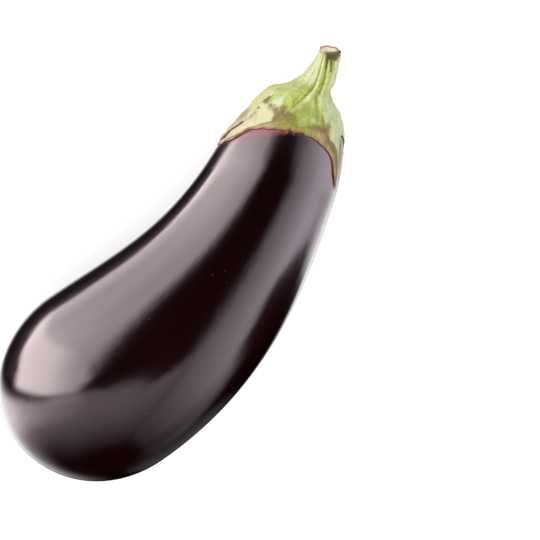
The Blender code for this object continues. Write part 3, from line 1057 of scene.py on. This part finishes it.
def paint_studio(world):
    """Soft box on the left, weaker fill on the right and a pale table, told apart by direction.

    Matt surfaces are lit by a plain even tent; only mirror reflections show the box, the fill and the
    table. A direction is known by its turn, in degrees from the near side towards the left, and its
    height over the level plane. The camera sees plain white.
    """
    sizes = bpy.context.scene.eggplant_stage
    axes = view_axes()
    upward = (axes @ STUDIO_UP).normalized()
    left = axes @ Vector((-1.0, 0.0, 0.0))
    left = (left - upward * left.dot(upward)).normalized()
    near = left.cross(upward)
    if near.dot(axes @ Vector((0.0, 0.0, 1.0))) < 0.0:
        near = -near
    graph = Graph(world)
    direction = graph.node("ShaderNodeTexCoord", output="Generated")

    def towards(axis):
        """Cosine of the angle between the direction and an axis."""
        sockets = {0: direction, 1: tuple(axis)}
        return graph.node("ShaderNodeVectorMath", {"operation": "DOT_PRODUCT"}, sockets, output="Value")

    def lamp(colour, strength):
        return graph.node("ShaderNodeBackground", None, {"Color": colour, "Strength": strength})

    rising = graph.node("ShaderNodeMath", {"operation": "ARCSINE"}, {0: towards(upward)})
    turning = graph.node("ShaderNodeMath", {"operation": "ARCTAN2"}, {0: towards(left), 1: towards(near)})
    height = rising * math.degrees(1.0)
    turn = turning * math.degrees(1.0)

    box = left_box(graph, turn, height)
    table = left_table(graph, turn, height)
    fill = right_fill(graph, turn, height)
    right_rim, left_rim = rim_lights(graph, turn, height)
    studio = (box + table + fill) * (1.0 - right_screen(graph, turn, height)) + right_rim + left_rim
    away = towards(axes @ Vector((0.0, 0.0, -1.0)))
    beyond = graph.rise(away, 0.875, 0.95) * graph.rise(height, -18.0, -6.0)
    tint = graph.coats(
        graph.mix(graph.rise(box, 0.5, 8.0), (1.16, 0.93, 1.04), (1.13, 0.955, 0.98)),
        (graph.fall(turn, -50.0, -30.0), (1.08, 0.95, 1.05)),
        (graph.rise(away, 0.35, 0.85) * 0.85, (1.00, 0.99, 1.01)))

    white = (1.0, 1.0, 1.0)
    mirrored = graph.node("ShaderNodeLightPath", output="Is Glossy Ray")
    seen = graph.node("ShaderNodeLightPath", output="Is Camera Ray")
    soft = towards((left + near + upward * 0.5).normalized()) * 0.25 + sizes.soft_light
    painted = lamp(tint, graph.most(studio, beyond) * sizes.light)
    lit = graph.node("ShaderNodeMixShader", None, {0: mirrored, 1: lamp(white, soft), 2: painted})
    both = graph.node("ShaderNodeMixShader", None, {0: seen, 1: lit, 2: lamp(white, 1.0)})
    graph.node("ShaderNodeOutputWorld", None, {"Surface": both})


# ---------------------------------------------------------------- operators

class EGGPLANT_OT_fruit(bpy.types.Operator):
    """Make the fruit: its fine skin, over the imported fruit."""

    bl_idname = "eggplant.fruit"
    bl_label = "Fruit"

    def execute(self, context):
        latitudes, angles = fruit_grid()
        points = skin(latitudes, angles)
        x = np.broadcast_to(x_at(latitudes), points.shape[:-1])
        turn = np.broadcast_to(angles, points.shape[:-1])
        edge = skin(*calyx_place(full_turn(EDGE_COLUMNS), 1.0))
        near = x > NEAR_CALYX_X
        gaps = np.full(x.shape, FAR_MM)
        gaps[near] = [np.linalg.norm(edge - place, axis=-1).min() / MM for place in points[near]]
        _, end_x = margin_at(turn)
        least, extra, middle, width = BLUSH_REACH
        scar = skin(0.0, 0.0)
        ember = skin(latitude_at(EMBER_X), EMBER_ANGLE)
        values = {
            "grain": np.stack([x, GRAIN_RADIUS * np.cos(turn), GRAIN_RADIUS * np.sin(turn)], axis=-1),
            "from_calyx": np.where(x > end_x, 0.0, gaps),
            "from_scar": np.linalg.norm(points - scar, axis=-1) / MM,
            "from_ember": np.linalg.norm(points - ember, axis=-1) / MM,
            "reach": least + extra * bell(signed(np.degrees(turn)), middle, width),
        }
        tips = at_rest(np.stack([scar, skin(math.pi, 0.0)]))
        add_piece("fruit", at_rest(points), tips, values, skin_finish())
        return {"FINISHED"}


class EGGPLANT_OT_calyx(bpy.types.Operator):
    """Make the calyx: ribs and lobes that hug the shoulder of the fruit."""

    bl_idname = "eggplant.calyx"
    bl_label = "Calyx"

    def execute(self, context):
        columns = full_turn(GREEN_COLUMNS)
        points, values = green_shape(columns)
        first = STEM_ROWS + int(JOIN_ROWS * STEM_PART_OF_JOIN) - 1
        sunk, tip = plug(points[first], PLUG_SHARES, -PLUG_DEPTH)
        under = []
        for part in ROUND_PARTS:
            latitude, angle = calyx_place(columns, 1.0 + MARGIN_OVERHANG * math.sin(math.pi * part))
            edge = outer_height(1.0, latitude, angle) - SKIN_GAP
            under.append(above_skin(latitude, angle, SKIN_GAP + (1.0 - part) * edge))
        for share in np.linspace(1.0, 0.0, INNER_ROWS):
            under.append(above_skin(*calyx_place(columns, share), SKIN_GAP))
        start = latitude_at(CROWN_X)
        for share in CROWN_SHARES:
            under.append(above_skin(start + (math.pi - start) * share, columns, SKIN_GAP))
        rings = np.concatenate([sunk, points[first:], np.stack(under)])
        tips = np.stack([tip, around(TOP_X + SKIN_GAP, 0.0, 0.0)])
        layers = take(values, first, len(points) - 1, len(sunk), len(under))
        finish = green_finish("green_calyx")
        add_piece("calyx", at_rest(rings), at_rest(tips), layers, finish)
        return {"FINISHED"}


class EGGPLANT_OT_stem(bpy.types.Operator):
    """Make the stem: ribbed, with a dished cut end."""

    bl_idname = "eggplant.stem"
    bl_label = "Stem"

    def execute(self, context):
        points, values = green_shape(full_turn(GREEN_COLUMNS))
        last = STEM_ROWS + int(JOIN_ROWS * STEM_PART_OF_JOIN) - 1
        rim = points[0]
        middle = rim.mean(axis=0)
        along = unit(np.array(STEM_CUT) - np.array(STEM_BEND))
        shares = np.array(CUT_SHARES)[:, None]
        dish = CUT_DISH * (1.0 - shares ** 2) - CUT_LIP * smooth((shares - LIP_START) / LIP_WIDTH) - CUT_RISE
        face = middle + (rim - middle) * shares[..., None] - along * dish[..., None]
        under, tip = plug(points[last], PLUG_SHARES[::-1], PLUG_DEPTH)
        rings = np.concatenate([face, points[:last + 1], under])
        tips = np.stack([middle - along * (CUT_DISH - CUT_RISE), tip])
        layers = take(values, 0, last, len(face), len(under))
        layers["cut"][:len(face)] = shares
        # Painted shade: the cut face darkens towards one side.
        shade_share = shares * np.cos(np.radians(values["turn"][0] - CUT_SHADE_ANGLE))
        layers["stain_and_shade"][:len(face)] = UNSHADED_CUT_MM * (1.0 - smooth((shade_share + 0.12) / 0.5))
        finish = green_finish("pale_green_stem")
        add_piece("stem", at_rest(rings), at_rest(tips), layers, finish)
        return {"FINISHED"}


class EGGPLANT_OT_stage(bpy.types.Operator):
    """Set the stage: a pale floor, soft studio light and the camera."""

    bl_idname = "eggplant.stage"
    bl_label = "Stage"

    def execute(self, context):
        scene = context.scene
        self.lay_floor(scene)
        self.hang_lamp(scene)
        scene.world = bpy.data.worlds.new("studio")
        paint_studio(scene.world)
        scene.view_settings.view_transform = "Standard"
        self.set_camera(scene)
        return {"FINISHED"}

    def lay_floor(self, scene):
        """Put down the pale board, which mirror reflections don't show."""
        data = bpy.data.meshes.new("floor")
        half = FLOOR_HALF
        corners = [(-half, -half, 0.0), (half, -half, 0.0), (half, half, 0.0), (-half, half, 0.0)]
        data.from_pydata(corners, [], [(0, 1, 2, 3)])
        data.materials.append(floor_finish())
        floor = bpy.data.objects.new("floor", data)
        scene.collection.objects.link(floor)
        floor.visible_glossy = False

    def hang_lamp(self, scene):
        """Hang a broad soft lamp over the board, out of sight."""
        panel = bpy.data.lights.new("overhead", "AREA")
        panel.shape = "SQUARE"
        panel.size = LAMP_WIDTH
        panel.energy = LAMP_WATTS
        overhead = bpy.data.objects.new("overhead", panel)
        overhead.location = (0.0, 0.0, LAMP_HEIGHT)
        overhead.visible_glossy = False
        overhead.visible_camera = False
        scene.collection.objects.link(overhead)

    def set_camera(self, scene):
        """Place the camera over the fruit, with the lens that takes in the view width."""
        sizes = scene.eggplant_stage
        lens = bpy.data.cameras.new("camera")
        lens.lens = lens.sensor_width * sizes.camera_distance / sizes.view_width
        lens.clip_start = 0.05
        lens.clip_end = 20.0
        camera = bpy.data.objects.new("camera", lens)
        axes = view_axes()
        place = Vector(at_rest(CAMERA_AIM)) + axes @ Vector((0.0, 0.0, sizes.camera_distance))
        camera.matrix_world = Matrix.Translation(place) @ axes.to_4x4()
        scene.collection.objects.link(camera)
        scene.camera = camera


class EGGPLANT_PT_panel(bpy.types.Panel):
    """Sizes, colours and the pieces in the order in which they are made."""

    bl_idname = "EGGPLANT_PT_panel"
    bl_label = "Eggplant"
    bl_space_type = "VIEW_3D"
    bl_region_type = "UI"
    bl_category = "Eggplant"

    def draw(self, context):
        for piece in SETTINGS:
            settings = getattr(context.scene, "eggplant_" + piece)
            for key in settings.__annotations__:
                self.layout.prop(settings, key)
            self.layout.operator("eggplant." + piece)


SETTINGS = {
    "fruit": EggplantFruitSettings,
    "calyx": EggplantCalyxSettings,
    "stem": EggplantStemSettings,
    "stage": EggplantStageSettings,
}
CLASSES = (
    *SETTINGS.values(),
    EGGPLANT_OT_fruit, EGGPLANT_OT_calyx, EGGPLANT_OT_stem, EGGPLANT_OT_stage, EGGPLANT_PT_panel)


def register():
    for kind in CLASSES:
        bpy.utils.register_class(kind)
    for piece, kind in SETTINGS.items():
        setattr(bpy.types.Scene, "eggplant_" + piece, PointerProperty(type=kind))


def unregister():
    for piece in SETTINGS:
        delattr(bpy.types.Scene, "eggplant_" + piece)
    for kind in reversed(CLASSES):
        bpy.utils.unregister_class(kind)


def main():
    """Make every piece and the stage."""
    register()
    bpy.ops.eggplant.fruit()
    bpy.ops.eggplant.calyx()
    bpy.ops.eggplant.stem()
    bpy.ops.eggplant.stage()


if __name__ == "__main__":
    main()
